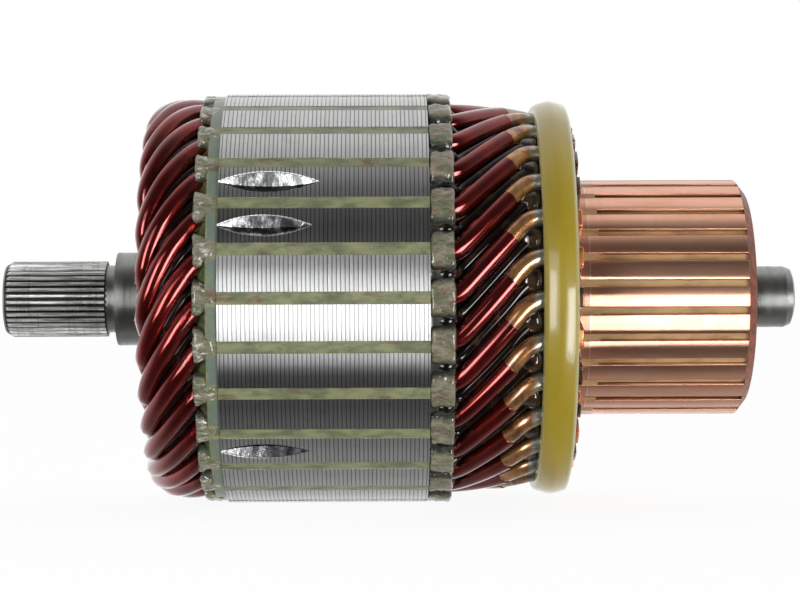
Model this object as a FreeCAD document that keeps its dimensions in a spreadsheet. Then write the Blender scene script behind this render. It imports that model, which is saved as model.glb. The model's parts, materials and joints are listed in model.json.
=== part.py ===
"""Armature of a small geared starter motor: wound core, banding ring and commutator on one shaft.

The shaft lies along X with its serrated end at -X and the commutator at +X.  The origin is on the
shaft's axis, halfway along it.  Lengths are in millimetres and angles in degrees.
"""
import FreeCAD, Part
import math
import os
import re

import Sketcher
from FreeCAD import Placement, Rotation, Vector

SLOT_COUNT = 28          # one slot, one hairpin, one commutator bar and one riser at each pitch
SERRATION_TEETH = 36
WIRE_SIDES = 6           # the hairpins' section, a polygon in place of round wire
HEAD_SPAN = 5            # slots that a hairpin spans at the head
LEAD_SPAN = 2            # bars that each lead slants past on its way to the riser
PITCH = 360 / SLOT_COUNT
ROUND_SHARE = 0.293      # a quarter round's own middle, as a share of its radius from its corner
X_AXIS = Vector(1, 0, 0)

# The driving dimensions.  Each one is a cell of the sheet and can be changed by itself.
SIZES = {
    # laminated core
    "core_start": -25.1,            # place of the first sheet along the shaft
    "core_length": 28.9,
    "core_diameter": 60.0,
    "mouth_width": 1.76,
    "mouth_depth": 0.9,
    "shoulder_depth": 0.27,
    "end_plate": 1.58,              # insulator on each face of the core
    "end_plate_drop": 0.3,          # how far its edge stays below the core's
    # balance cuts, milled into three teeth with a vee-edged disc
    "cutter_diameter": 44.0,
    "cutter_angle": 115.0,
    "cut_depth": 1.1,
    "cut_setback": 6.4,             # from the first sheet to the middle of a cut
    # slot lining and wedge
    "liner_wall": 0.3,
    "cuff_width": 4.5,
    "cuff_cover": 0.47,             # paper over the upper wire
    "head_cuff": 0.85,
    "lead_cuff": 1.72,
    "wedge_inset": 0.1,             # how far the wedge stays below the core's surface
    # hairpins
    "wire_size": 2.3,               # across the flats
    "wire_clearance": 0.15,         # wire to liner
    "layer_gap": 0.15,              # upper wire to lower wire in the slot
    "head_gap": 0.22,               # between neighbouring strands of the head
    "head_bulge": 0.5,
    "apex_height": 0.2,             # rise of a strand just before it turns over
    "bend_room": 0.85,              # cuff to the first bend of the head
    "lead_bend_room": 0.6,
    "lead_reach": 11.5,             # first bend of the lead to the banding ring
    "lead_drop": 1.25,              # fall of the upper lead's centre line from slot to ring
    "weld_gap": 0.12,               # between what is welded at a riser
    # banding ring
    "ring_wall": 1.35,              # at its thinner edge, over the high end of the leads
    "ring_width": 4.7,
    "ring_edge": 0.7,
    "ring_seat": 0.08,              # ring to the leads that it binds
    # commutator
    "riser_show": 1.08,             # riser past the ring
    "riser_length": 4.6,
    "riser_diameter": 40.3,
    "track_length": 24.08,
    "track_diameter": 34.5,
    "bar_foot_diameter": 27.0,
    "mica_width": 1.05,
    "mica_undercut": 0.6,
    "undercut_setback": 3.0,
    "hub_cap": 1.26,                # moulding past the ends of the bars
    "hub_chamfer": 1.6,             # how far the cap tapers to its end
    "hub_cap_drop": 0.05,           # cap's edge below the track
    # shaft
    "core_seat_diameter": 13.7,
    "core_seat_show": 16.4,         # shaft at full diameter before the first sheet
    "core_seat_tail": 4.0,          # and past the last one
    "hub_seat_diameter": 12.0,
    "shoulder_inset": 0.3,          # seat's shoulder to the hub's face
    "journal_diameter": 9.0,
    "journal_show": 7.58,           # journal past the hub
    "journal_edge": 1.3,
    "neck_diameter": 9.9,
    "neck_length": 1.6,
    "serration_diameter": 11.1,
    "serration_length": 14.8,
    "serration_depth": 0.48,
    "serration_space": 0.12,        # width of a tooth space at its root
    "serration_angle": 60.0,
    "serration_edge": 1.06,
    "serration_edge_drop": 0.6,
    "centre_diameter": 2.4,
    "centre_angle": 60.0,
    "overrun": 1.0,                 # how far a cutting outline reaches past what it cuts
}

# Lengths and stations along the shaft that follow from the sizes, from the serrated end on.
DERIVED = {
    "core_end": "core_start + core_length",
    "front_plate_start": "core_start - end_plate",
    "rear_plate_end": "core_end + end_plate",
    "head_cuff_end": "front_plate_start - head_cuff",
    "lead_cuff_end": "rear_plate_end + lead_cuff",
    "head_bend": "head_cuff_end - bend_room",
    "lead_bend": "lead_cuff_end + lead_bend_room",
    "ring_start": "lead_bend + lead_reach",
    "ring_end": "ring_start + ring_width",
    "riser_end": "ring_end + riser_show",
    "riser_start": "riser_end - riser_length",
    "undercut_start": "riser_end + undercut_setback",
    "bar_end": "riser_end + track_length",
    "hub_end": "bar_end + hub_cap",
    "shoulder": "hub_end - shoulder_inset",
    "journal_end": "hub_end + journal_show",
    "collar_start": "core_start - core_seat_show",
    "serration_end": "collar_start - neck_length",
    "shaft_start": "serration_end - serration_length",
    # radii, from the outside of the core inwards
    "core_radius": "core_diameter / 2",
    "mouth_radius": "core_radius - mouth_depth",
    "slot_top": "mouth_radius - shoulder_depth",
    "upper_wire": "slot_top - wire_clearance - wire_corner",
    "lower_wire": "upper_wire - 2 * wire_corner - layer_gap",
    "liner_bottom": "lower_wire - wire_corner - wire_clearance",
    "slot_bottom": "liner_bottom - liner_wall",
    "slot_width": "liner_inside + 2 * liner_wall",
    "liner_inside": "wire_size + 2 * wire_clearance",
    "plate_radius": "core_radius - end_plate_drop",
    "riser_radius": "riser_diameter / 2",
    "track_radius": "track_diameter / 2",
    "bar_foot": "bar_foot_diameter / 2",
    # the wire's corner radius, and the centre lines of the two conductors on a riser
    "wire_corner": "wire_size / 2 / cos(180 / %d)" % WIRE_SIDES,
    "lower_weld": "riser_radius + weld_gap + wire_corner",
    "upper_weld": "lower_weld + weld_gap + 2 * wire_corner",
    "upper_at_ring": "upper_wire - lead_drop",
    # the banding ring's bore is a cone that rests on the sloping upper leads
    "lead_slope": "atan((upper_at_ring - upper_weld) / ring_width)",
    "ring_bore": "upper_at_ring + wire_corner / cos(lead_slope) + ring_seat",
    "ring_bore_end": "upper_weld + wire_corner / cos(lead_slope) + ring_seat",
    "ring_radius": "max(ring_bore; ring_bore_end) + ring_wall",
}

doc = FreeCAD.newDocument("armature")
sheet = doc.addObject("Spreadsheet::Sheet", "Sizes")
for row, (alias, size) in enumerate(SIZES.items(), start=1):
    sheet.set(f"A{row}", alias)
    sheet.set(f"B{row}", str(size))
    sheet.setAlias(f"B{row}", alias)
doc.recompute()


def bound(formula):
    """Return a formula written with the sizes' names as an expression that reads the sheet."""
    def replace(match):
        word = match.group(0)
        if word in DERIVED:
            return "(" + bound(DERIVED[word]) + ")"
        return "Sizes." + word if word in SIZES else word
    return re.sub(r"[a-z][a-z_]+", replace, formula)


def number(formula):
    """Work a formula out with the sheet's present values."""
    return float(sheet.evalExpression(bound(formula).replace("Sizes.", "")))


# ---- how the pieces are drawn --------------------------------------------------------------

def new_body(label):
    """Start a piece that may hold several separate solids."""
    body = doc.addObject("PartDesign::Body", label)
    body.Label = label
    body.AllowCompound = True
    return body


def datum(body, role):
    """Return one of the body's own planes or axes."""
    return next(part for part in body.Origin.OriginFeatures if part.Role == role)


def draw(body, name, plane, outlines, offset="0", turn=0.0):
    """Sketch closed outlines, each a list of corners whose two coordinates are formulas.

    On YZ_Plane the second coordinate points to +Z before the sketch is turned about the shaft.
    """
    sketch = body.newObject("Sketcher::SketchObject", name)
    sketch.AttachmentSupport = [(datum(body, plane), "")]
    sketch.MapMode = "FlatFace"
    sketch.AttachmentOffset = Placement(Vector(), Rotation(Vector(0, 0, 1), turn))
    sketch.setExpression("AttachmentOffset.Base.z", bound(offset))
    for corners in outlines:
        first = sketch.GeometryCount
        spots = [Vector(number(across), number(up), 0) for across, up in corners]
        for here, following in zip(spots, spots[1:] + spots[:1]):
            sketch.addGeometry(Part.LineSegment(here, following))
        for step, (across, up) in enumerate(corners):
            line = first + step
            after = first + (step + 1) % len(corners)
            sketch.addConstraint(Sketcher.Constraint("Coincident", line, 2, after, 1))
            for kind, formula in (("DistanceX", across), ("DistanceY", up)):
                place = Sketcher.Constraint(kind, -1, 1, line, 1, number(formula))
                index = sketch.addConstraint(place)
                sketch.setExpression(f"Constraints[{index}]", bound(formula))
    return sketch


def add(body, kind, name, sketch, **settings):
    """Add a feature on a sketch.  Settings that are formulas are bound to the sheet."""
    feature = body.newObject("PartDesign::" + kind, name)
    feature.Profile = sketch
    for setting, value in settings.items():
        if isinstance(value, str) and setting != "Type":
            feature.setExpression(setting, bound(value))
        else:
            setattr(feature, setting, value)
    sketch.Visibility = False
    return feature


def turned(body, name, corners):
    """Revolve an outline, given as stations along the shaft and radii, about the shaft."""
    sketch = draw(body, name + "_outline", "XZ_Plane", [corners])
    return add(body, "Revolution", name, sketch,
               ReferenceAxis=(datum(body, "X_Axis"), [""]), Angle=360.0)


def all_round(body, name, features, count):
    """Repeat features about the shaft."""
    pattern = body.newObject("PartDesign::PolarPattern", name)
    pattern.Originals = features
    pattern.Axis = (datum(body, "X_Axis"), [""])
    pattern.Angle = 360.0
    pattern.Occurrences = count
    body.Tip = pattern
    return pattern


def rectangle(half_width, low, high):
    """Return the corners of an upright rectangle centred on the sketch's own upright."""
    return [(f"-({half_width})", low), (half_width, low),
            (half_width, high), (f"-({half_width})", high)]


# ---- shaft ---------------------------------------------------------------------------------

def make_shaft():
    """Turn the shaft, its centres and the journal's rounded end, and serrate its drive end."""
    shaft = new_body("shaft")
    turned(shaft, "blank", [
        ("shaft_start + centre_diameter / 2 / tan(centre_angle / 2)", "0"),
        ("shaft_start", "centre_diameter / 2"),
        ("shaft_start", "serration_diameter / 2 - serration_edge_drop"),
        ("shaft_start + serration_edge", "serration_diameter / 2"),
        ("serration_end", "serration_diameter / 2"),
        ("serration_end", "neck_diameter / 2"),
        ("collar_start", "neck_diameter / 2"),
        ("collar_start", "core_seat_diameter / 2"),
        ("core_end + core_seat_tail", "core_seat_diameter / 2"),
        ("core_end + core_seat_tail", "hub_seat_diameter / 2"),
        ("shoulder", "hub_seat_diameter / 2"),
        ("shoulder", "journal_diameter / 2"),
        ("journal_end - journal_edge", "journal_diameter / 2"),
        (f"journal_end - {ROUND_SHARE} * journal_edge",
         f"journal_diameter / 2 - {ROUND_SHARE} * journal_edge"),
        ("journal_end", "journal_diameter / 2 - journal_edge"),
        ("journal_end", "centre_diameter / 2"),
        ("journal_end - centre_diameter / 2 / tan(centre_angle / 2)", "0"),
    ])
    root = "serration_diameter / 2 - serration_depth"
    rim = "serration_diameter / 2 + overrun"
    flare = "(serration_space / 2 + (serration_depth + overrun) * tan(serration_angle / 2))"
    space = draw(shaft, "tooth_space_outline", "YZ_Plane", [[
        ("-serration_space / 2", root), ("serration_space / 2", root),
        (flare, rim), ("-" + flare, rim)]], offset="shaft_start")
    cut = add(shaft, "Pocket", "tooth_space", space, Reversed=True, Length="serration_length")
    all_round(shaft, "serration", [cut], SERRATION_TEETH)


# ---- core ----------------------------------------------------------------------------------

# Each balance cut: the tooth it is in, counted in pitches from the top towards the -Y side,
# its share of the full depth and how far it is shifted along the shaft.
BALANCE_CUTS = ((4.5, 1.08, 0.4), (5.5, 0.95, -0.1), (10.5, 0.9, -0.4))


def slotted_disc(label, start, length, radius, slot_outline):
    """Make a disc that fits the shaft and cut a slot through it at each pitch."""
    disc = new_body(label)
    end = f"{start} + {length}"
    turned(disc, "disc", [(start, "core_seat_diameter / 2"), (end, "core_seat_diameter / 2"),
                          (end, radius), (start, radius)])
    sketch = draw(disc, "slot_outline", "YZ_Plane", [slot_outline], offset=start)
    slot = add(disc, "Pocket", "slot", sketch, Reversed=True, Length=length)
    all_round(disc, "slots", [slot], SLOT_COUNT)
    return disc


def make_core():
    """Make the stack of sheets with its half-closed slots, then mill the balance cuts."""
    core = slotted_disc("lamination_stack", "core_start", "core_length", "core_radius", [
        ("-mouth_width / 2", "core_radius + overrun"), ("-mouth_width / 2", "mouth_radius"),
        ("-slot_width / 2", "slot_top"), ("-slot_width / 2", "slot_bottom"),
        ("slot_width / 2", "slot_bottom"), ("slot_width / 2", "slot_top"),
        ("mouth_width / 2", "mouth_radius"), ("mouth_width / 2", "core_radius + overrun")])
    for order, (pitches, share, shift) in enumerate(BALANCE_CUTS, start=1):
        floor = f"(core_radius - cut_depth * {share})"
        reach = f"((cut_depth * {share} + overrun) * tan(cutter_angle / 2))"
        rim = "core_radius + overrun"
        axis = f"{floor} + cutter_diameter / 2"
        sketch = draw(core, f"cutter_outline_{order}", "YZ_Plane", [[
            ("0", floor), (reach, rim), ("-" + reach, rim)]],
            offset=f"core_start + cut_setback + {shift}", turn=pitches * PITCH)
        high, width = number(axis), number(reach)
        spindle = sketch.addGeometry(
            Part.LineSegment(Vector(-width, high, 0), Vector(width, high, 0)), True)
        sketch.addConstraint(Sketcher.Constraint("Horizontal", spindle))
        height = sketch.addConstraint(
            Sketcher.Constraint("DistanceY", -1, 1, spindle, 1, high))
        sketch.setExpression(f"Constraints[{height}]", bound(axis))
        add(core, "Groove", f"balance_cut_{order}", sketch,
            ReferenceAxis=(sketch, ["Axis0"]), Angle=360.0)


def make_end_plates():
    """Make the insulator on each face of the core, with windows that the liners pass through."""
    for label, start in (("end_insulator_head", "front_plate_start"),
                         ("end_insulator_lead", "core_end")):
        window = rectangle("slot_width / 2", "slot_bottom", "slot_top")
        slotted_disc(label, start, "end_plate", "plate_radius", window)


def make_liners():
    """Fold a paper channel into each slot, with a closed cuff outside each end insulator."""
    liners = new_body("slot_liners")
    outer, inner = "slot_width / 2", "liner_inside / 2"
    channel = draw(liners, "channel_outline", "YZ_Plane", [[
        ("-" + outer, "slot_top"), ("-" + outer, "slot_bottom"), (outer, "slot_bottom"),
        (outer, "slot_top"), (inner, "slot_top"), (inner, "liner_bottom"),
        ("-" + inner, "liner_bottom"), ("-" + inner, "slot_top")]], offset="front_plate_start")
    pieces = [add(liners, "Pad", "channel", channel, Length="rear_plate_end - front_plate_start")]
    for name, start, length in (("head_cuff_fold", "head_cuff_end", "head_cuff"),
                                ("lead_cuff_fold", "rear_plate_end", "lead_cuff")):
        cuff = draw(liners, name + "_outline", "YZ_Plane", [
            rectangle("cuff_width / 2", "slot_bottom", "slot_top + cuff_cover"),
            rectangle(inner, "liner_bottom", "slot_top")], offset=start)
        pieces.append(add(liners, "Pad", name, cuff, Length=length))
    all_round(liners, "liners", pieces, SLOT_COUNT)


def make_wedges():
    """Close the slot mouths with strips."""
    wedges = new_body("slot_wedges")
    sketch = draw(wedges, "wedge_outline", "YZ_Plane", [
        rectangle("mouth_width / 2", "mouth_radius", "core_radius - wedge_inset")],
        offset="core_start")
    wedge = add(wedges, "Pad", "wedge", sketch, Length="core_length")
    all_round(wedges, "wedges", [wedge], SLOT_COUNT)


# ---- hairpins ------------------------------------------------------------------------------

APEX = 0.06              # share of a leg's span at which it starts to turn over


def on_shaft(station, pitches, radius):
    """Return the point at a station, some pitches round from the top, at a radius."""
    angle = math.radians(pitches * PITCH)
    return Vector(station, -radius * math.sin(angle), radius * math.cos(angle))


def lead_points(slot, way, wire, weld):
    """Return a lead's bends from the riser to the slot that it leaves, in one of two layers."""
    riser = slot + way * LEAD_SPAN
    return [(number("riser_end"), riser, weld),
            (number("ring_end"), riser, weld),
            (number("ring_start"), riser, wire - number("lead_drop")),
            (number("lead_bend"), slot, wire)]


def hairpin_route():
    """Return the first hairpin's centre line, from its upper riser to its lower one."""
    upper, lower = number("upper_wire"), number("lower_wire")
    bend, tuck, bulge = number("head_bend"), number("apex_height"), number("head_bulge")
    # The strands of the lower layer are the closest, so they set how steeply the head slants.
    spacing = math.radians(PITCH) * lower
    slant = math.acos((number("wire_size") + number("head_gap")) / spacing)
    reach = HEAD_SPAN / 2 * spacing / math.tan(slant)
    middle = bend - reach / 2 / (1 - APEX)
    half = HEAD_SPAN / 2
    head = [(bend, 0, upper),
            (middle, half / 2, upper + bulge),
            (bend - reach, half * (1 - APEX), upper + tuck),
            (bend - reach, half * (1 + APEX), lower + tuck),
            (middle, half * 3 / 2, lower - tuck / 2),
            (bend, HEAD_SPAN, lower)]
    upper_lead = lead_points(0, -1, upper, number("upper_weld"))
    lower_lead = lead_points(HEAD_SPAN, 1, lower, number("lower_weld"))
    return [on_shaft(*place) for place in upper_lead + head + lower_lead[::-1]]


def make_hairpins():
    """Sweep one hairpin's section along its route for each slot, turned on by one pitch."""
    route = doc.addObject("Part::Polygon", "hairpin_route")
    route.Nodes = hairpin_route()
    section = doc.addObject("Part::RegularPolygon", "wire_section")
    section.Polygon = WIRE_SIDES
    section.setExpression("Circumradius", bound("wire_corner"))
    # a corner of the section points outwards, so that flats face the neighbouring strands
    facing = Rotation(X_AXIS, -LEAD_SPAN * PITCH) * Rotation(Vector(0, 1, 0), 90)
    section.Placement = Placement(route.Nodes[0], facing)
    for order in range(SLOT_COUNT):
        label = f"hairpin_{order + 1:02d}"
        hairpin = doc.addObject("Part::Sweep", label)
        hairpin.Label = label
        hairpin.Sections = [section]
        hairpin.Spine = (route, [])
        hairpin.Solid = True
        hairpin.Transition = "Right corner"
        hairpin.Placement = Placement(Vector(), Rotation(X_AXIS, order * PITCH))


# ---- banding ring --------------------------------------------------------------------------

def make_ring():
    """Wind the banding ring over the sloping upper leads."""
    ring = new_body("banding_ring")
    turned(ring, "band", [
        ("ring_start", "ring_bore"), ("ring_end", "ring_bore_end"),
        ("ring_end", "ring_radius - ring_edge"), ("ring_end - ring_edge", "ring_radius"),
        ("ring_start + ring_edge", "ring_radius"), ("ring_start", "ring_radius - ring_edge"),
    ])


# ---- commutator ----------------------------------------------------------------------------

def make_bars():
    """Turn the copper with its risers and saw it into bars, one under each slot."""
    bars = new_body("commutator_bars")
    turned(bars, "copper", [
        ("riser_start", "bar_foot"), ("bar_end", "bar_foot"), ("bar_end", "track_radius"),
        ("riser_end", "track_radius"), ("riser_end", "riser_radius"),
        ("riser_start", "riser_radius"),
    ])
    sketch = draw(bars, "saw_outline", "YZ_Plane", [
        rectangle("mica_width / 2", "bar_foot - overrun", "riser_radius + overrun")],
        offset="riser_start", turn=PITCH / 2)
    saw = add(bars, "Pocket", "saw_cut", sketch, Reversed=True, Length="bar_end - riser_start")
    all_round(bars, "saw_cuts", [saw], SLOT_COUNT)


def make_mica():
    """Fill the gaps between the bars with flat segments, undercut along the track."""
    mica = new_body("commutator_mica")
    sketch = draw(mica, "segment_outline", "XZ_Plane", [[
        ("riser_start", "bar_foot"), ("bar_end", "bar_foot"),
        ("bar_end", "track_radius - mica_undercut"),
        ("undercut_start", "track_radius - mica_undercut"),
        ("undercut_start", "track_radius"), ("riser_end", "track_radius"),
        ("riser_end", "riser_radius"), ("riser_start", "riser_radius")]])
    segment = add(mica, "Pad", "segment", sketch, Length="mica_width", Midplane=True)
    all_round(mica, "segments", [segment], SLOT_COUNT)
    mica.Placement = Placement(Vector(), Rotation(X_AXIS, PITCH / 2))


def make_hub():
    """Mould the hub inside the bars, with a cap over their ends."""
    hub = new_body("commutator_hub")
    cap = "track_radius - hub_cap_drop"
    turned(hub, "moulding", [
        ("riser_start", "hub_seat_diameter / 2"), ("hub_end", "hub_seat_diameter / 2"),
        ("hub_end", f"{cap} - hub_chamfer"), ("bar_end", cap),
        ("bar_end", "bar_foot"), ("riser_start", "bar_foot"),
    ])


# ---- build, check and write ----------------------------------------------------------------

def pieces():
    """Return the finished pieces, without the helpers that they are made from."""
    return [item for item in doc.Objects
            if item.isDerivedFrom("PartDesign::Body") or item.isDerivedFrom("Part::Sweep")]


def check():
    """Stop if anything in the document failed or a piece has no sound solid."""
    failed = [item.Label for item in doc.Objects
              if "Invalid" in item.State or "Error" in item.State]
    failed += [item.Label for item in pieces()
               if item.Shape.isNull() or not item.Shape.isValid() or not item.Shape.Solids]
    if failed:
        raise RuntimeError("not sound: " + ", ".join(failed))


make_shaft()
make_core()
make_end_plates()
make_liners()
make_wedges()
make_hairpins()
make_ring()
make_bars()
make_mica()
make_hub()
doc.recompute()
check()
os.makedirs("parts", exist_ok=True)
for piece in pieces():
    piece.Shape.exportStep(f"parts/{piece.Label}.step")
    print(piece.Label, len(piece.Shape.Solids), round(piece.Shape.Volume, 2))
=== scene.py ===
import json
import math

import bmesh
import bpy
from mathutils import Matrix, Vector

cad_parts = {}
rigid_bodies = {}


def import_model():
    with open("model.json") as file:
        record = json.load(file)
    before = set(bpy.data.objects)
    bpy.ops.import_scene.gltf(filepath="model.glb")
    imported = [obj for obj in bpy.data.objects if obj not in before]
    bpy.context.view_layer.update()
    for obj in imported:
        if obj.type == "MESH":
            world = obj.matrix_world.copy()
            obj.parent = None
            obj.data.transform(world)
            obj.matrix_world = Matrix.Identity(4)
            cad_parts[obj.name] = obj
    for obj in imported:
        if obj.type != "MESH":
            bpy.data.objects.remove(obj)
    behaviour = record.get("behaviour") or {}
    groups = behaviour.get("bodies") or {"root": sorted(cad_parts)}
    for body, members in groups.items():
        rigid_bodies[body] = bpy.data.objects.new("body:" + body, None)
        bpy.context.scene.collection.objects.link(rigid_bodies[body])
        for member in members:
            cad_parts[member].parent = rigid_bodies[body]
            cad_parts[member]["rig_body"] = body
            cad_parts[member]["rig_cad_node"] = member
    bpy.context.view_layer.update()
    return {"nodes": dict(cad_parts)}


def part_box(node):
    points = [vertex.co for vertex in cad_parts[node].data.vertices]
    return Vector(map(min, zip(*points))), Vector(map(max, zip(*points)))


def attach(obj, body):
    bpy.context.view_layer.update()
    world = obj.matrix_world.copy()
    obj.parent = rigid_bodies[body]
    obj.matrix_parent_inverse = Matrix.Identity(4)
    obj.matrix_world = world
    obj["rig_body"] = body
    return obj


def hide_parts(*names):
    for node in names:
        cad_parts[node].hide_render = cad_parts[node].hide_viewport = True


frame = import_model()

MM = 0.001
SLOTS = 28
PITCH = 2 * math.pi / SLOTS
SPIN_STEPS = 168          # round a lathe-turned piece


def span(part):
    """Where a CAD node starts and ends along the shaft."""
    low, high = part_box(part)
    return low.x / MM, high.x / MM


def reach(part):
    """A CAD node's largest radius."""
    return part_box(part)[1].z / MM


SHAFT_START = span("shaft")[0]
CORE_END = span("lamination_stack")[1]
HEAD_FACE = span("end_insulator_head")[0]
LEAD_FACE = span("end_insulator_lead")[1]
HEAD_CUFF_END, LEAD_CUFF_END = span("slot_liners")
RISER_END = span("hairpin_01")[1]
RING_START, RING_END = span("banding_ring")
RISER_START = span("commutator_bars")[0]
RING_RADIUS = reach("banding_ring")
RISER_RADIUS = reach("commutator_bars")
CUFF_RADIUS = reach("slot_liners")
CORE_RADIUS = reach("lamination_stack")
PLATE_RADIUS = reach("end_insulator_lead")
TRACK_RADIUS = reach("commutator_hub") + 0.05   # the copper stands a little above its hub
UPPER, LOWER = 27.35, 24.6      # radii of the two layers of wire in the slots
WIRE = 1.42                     # radius of the enamelled wire
SERRATION_END = -43.1           # where the shaft's teeth end
STRIPPED = 14.95                # where the enamel ends
TOOTH_TIP = 5.55                # radius of the shaft's teeth
SHEET = 0.59                    # thickness of one sheet of the core
HEAD_SPAN = 5                   # slots from a hairpin's upper leg to its lower one
LOWER_FALL = 0.5                # fall of the lower leads, as a share of the upper ones'
FLOOR_GAP = 0.05                # from the core down to the floor


# ---- handling of pieces ----------------------------------------------------------------------

def alone(piece):
    """Select one piece and nothing else."""
    bpy.ops.object.select_all(action="DESELECT")
    piece.select_set(True)
    bpy.context.view_layer.objects.active = piece


def started(name):
    """Name the primitive that was just added."""
    piece = bpy.context.object
    piece.name = name
    piece.data.name = name
    return piece


def settled(piece):
    """Put a piece's place, turn and scale into its mesh."""
    alone(piece)
    bpy.ops.object.transform_apply(location=True, rotation=True, scale=True)
    return piece


def edited(piece, *steps):
    """Run edit-mode steps on the whole of a piece."""
    alone(piece)
    bpy.ops.object.mode_set(mode="EDIT")
    bpy.ops.mesh.select_all(action="SELECT")
    for step in steps:
        step()
    bpy.ops.object.mode_set(mode="OBJECT")
    return piece


def outward():
    """Close the seams and turn the faces outwards."""
    bpy.ops.mesh.remove_doubles(threshold=0.002 * MM)
    bpy.ops.mesh.normals_make_consistent(inside=False)


def finished(piece, kind, **settings):
    """Add a modifier and apply it."""
    alone(piece)
    modifier = piece.modifiers.new(kind.title(), kind)
    for setting, value in settings.items():
        setattr(modifier, setting, value)
    bpy.ops.object.modifier_apply(modifier=modifier.name)
    return piece


def smooth(piece, degrees):
    """Smooth the shading of edges flatter than an angle."""
    alone(piece)
    bpy.ops.object.shade_smooth_by_angle(angle=math.radians(degrees))
    return piece


def turned_on(piece, pitches, name):
    """Copy a piece with a mesh of its own, some pitches round the shaft."""
    copy = piece.copy()
    copy.data = piece.data.copy()
    copy.name = copy.data.name = name
    copy.data.transform(Matrix.Rotation(pitches * PITCH, 4, "X"))
    bpy.context.collection.objects.link(copy)
    return copy


def joined(pieces, name):
    """Make several pieces one."""
    bpy.ops.object.select_all(action="DESELECT")
    for piece in pieces:
        piece.select_set(True)
    bpy.context.view_layer.objects.active = pieces[0]
    bpy.ops.object.join()
    return started(name)


def one_per_slot(piece, name):
    """Repeat a piece at every pitch and join the lot."""
    return joined([piece] + [turned_on(piece, step, name) for step in range(1, SLOTS)], name)


def placed(station, pitches, radius):
    """The point at a station, some pitches round from +Z towards -Y, at a radius."""
    angle = pitches * PITCH
    return Vector((station, -radius * math.sin(angle), radius * math.cos(angle))) * MM


# ---- how pieces are shaped -------------------------------------------------------------------

def lathe(name, outline):
    """Spin a closed outline of (station, radius) corners about the shaft."""
    bpy.ops.object.select_all(action="DESELECT")
    bpy.ops.mesh.primitive_circle_add(vertices=len(outline), fill_type="NOTHING")
    piece = started(name)
    for corner, (station, radius) in zip(piece.data.vertices, outline):
        corner.co = placed(station, 0, radius)

    def spin():
        bpy.ops.mesh.spin(steps=SPIN_STEPS, angle=2 * math.pi, center=(0, 0, 0), axis=(1, 0, 0))
    return edited(piece, spin, outward)


def bent_wire(name, route, radius, thins=(), sides=3):
    """Bend a round wire along a smooth route of (station, pitches, radius) points."""
    bpy.ops.object.select_all(action="DESELECT")
    bpy.ops.curve.primitive_nurbs_path_add()
    wire = started(name)
    line = wire.data.splines[0]
    line.points.add(len(route) - len(line.points))
    for order, (point, place) in enumerate(zip(line.points, route)):
        point.co = (*placed(*place), 1)
        point.radius = thins[order] if thins else 1
    line.order_u = 4
    line.use_endpoint_u = True
    line.resolution_u = 5
    wire.data.bevel_depth = radius * MM
    wire.data.bevel_resolution = sides
    wire.data.use_fill_caps = True
    bpy.ops.object.convert(target="MESH")
    return edited(started(name), outward)


def block(name, station, radius, length, width, height, edge):
    """A block with rounded edges, its middle over the shaft at a station and a radius."""
    bpy.ops.object.select_all(action="DESELECT")
    bpy.ops.mesh.primitive_cube_add(size=1, scale=(length * MM, width * MM, height * MM))
    piece = settled(started(name))

    def round_edges():
        bpy.ops.mesh.bevel(offset=edge * MM, segments=3, affect="EDGES")
    edited(piece, round_edges)
    piece.data.transform(Matrix.Translation(Vector((station, 0, radius)) * MM))
    return piece


# ---- shared effects --------------------------------------------------------------------------

def effect(name, inputs, outputs):
    """Start a node group with named sockets."""
    group = bpy.data.node_groups.new(name, "ShaderNodeTree")
    for label, kind, value in inputs:
        socket = group.interface.new_socket(label, in_out="INPUT", socket_type="NodeSocket" + kind)
        socket.default_value = value
    for label, kind in outputs:
        group.interface.new_socket(label, in_out="OUTPUT", socket_type="NodeSocket" + kind)
    return group, group.nodes.new("NodeGroupInput"), group.nodes.new("NodeGroupOutput")


def node(tree, kind, inputs=None, **settings):
    """Add a node.  Inputs are values or the sockets that feed them."""
    made = tree.nodes.new("ShaderNode" + kind)
    for setting, value in settings.items():
        setattr(made, setting, value)
    for key, value in (inputs or {}).items():
        if isinstance(value, bpy.types.NodeSocket):
            tree.links.new(value, made.inputs[key])
        else:
            made.inputs[key].default_value = value
    return made


def maths(tree, operation, first, second=0.0, clamp=False):
    """Work on one or two numbers, each a value or a socket."""
    return node(tree, "Math", {0: first, 1: second}, operation=operation,
                use_clamp=clamp).outputs[0]


def blended(tree, share, first, second):
    """Mix two colours, each a value or a socket."""
    mix = tree.nodes.new("ShaderNodeMix")
    mix.data_type = "RGBA"
    share_in, _, _, _, _, _, first_in, second_in = mix.inputs[:8]
    for socket, value in ((share_in, share), (first_in, first), (second_in, second)):
        if isinstance(value, bpy.types.NodeSocket):
            tree.links.new(value, socket)
        else:
            socket.default_value = value
    return mix.outputs[2]


def stretched(tree, place, along, across):
    """Scale a place along the shaft and across it, and turn it so that no grid shows."""
    return node(tree, "Mapping", {"Vector": place, "Scale": (along, across, across),
                                  "Rotation": (0.4, 0.7, 0.3)}).outputs[0]


def ramped(tree, value, low, high, to_low=0.0, to_high=1.0):
    """Ease from one number to another while a value runs from low to high."""
    return node(tree, "MapRange", {"Value": value, "From Min": low, "From Max": high,
                                   "To Min": to_low, "To Max": to_high},
                interpolation_type="SMOOTHSTEP").outputs[0]


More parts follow.
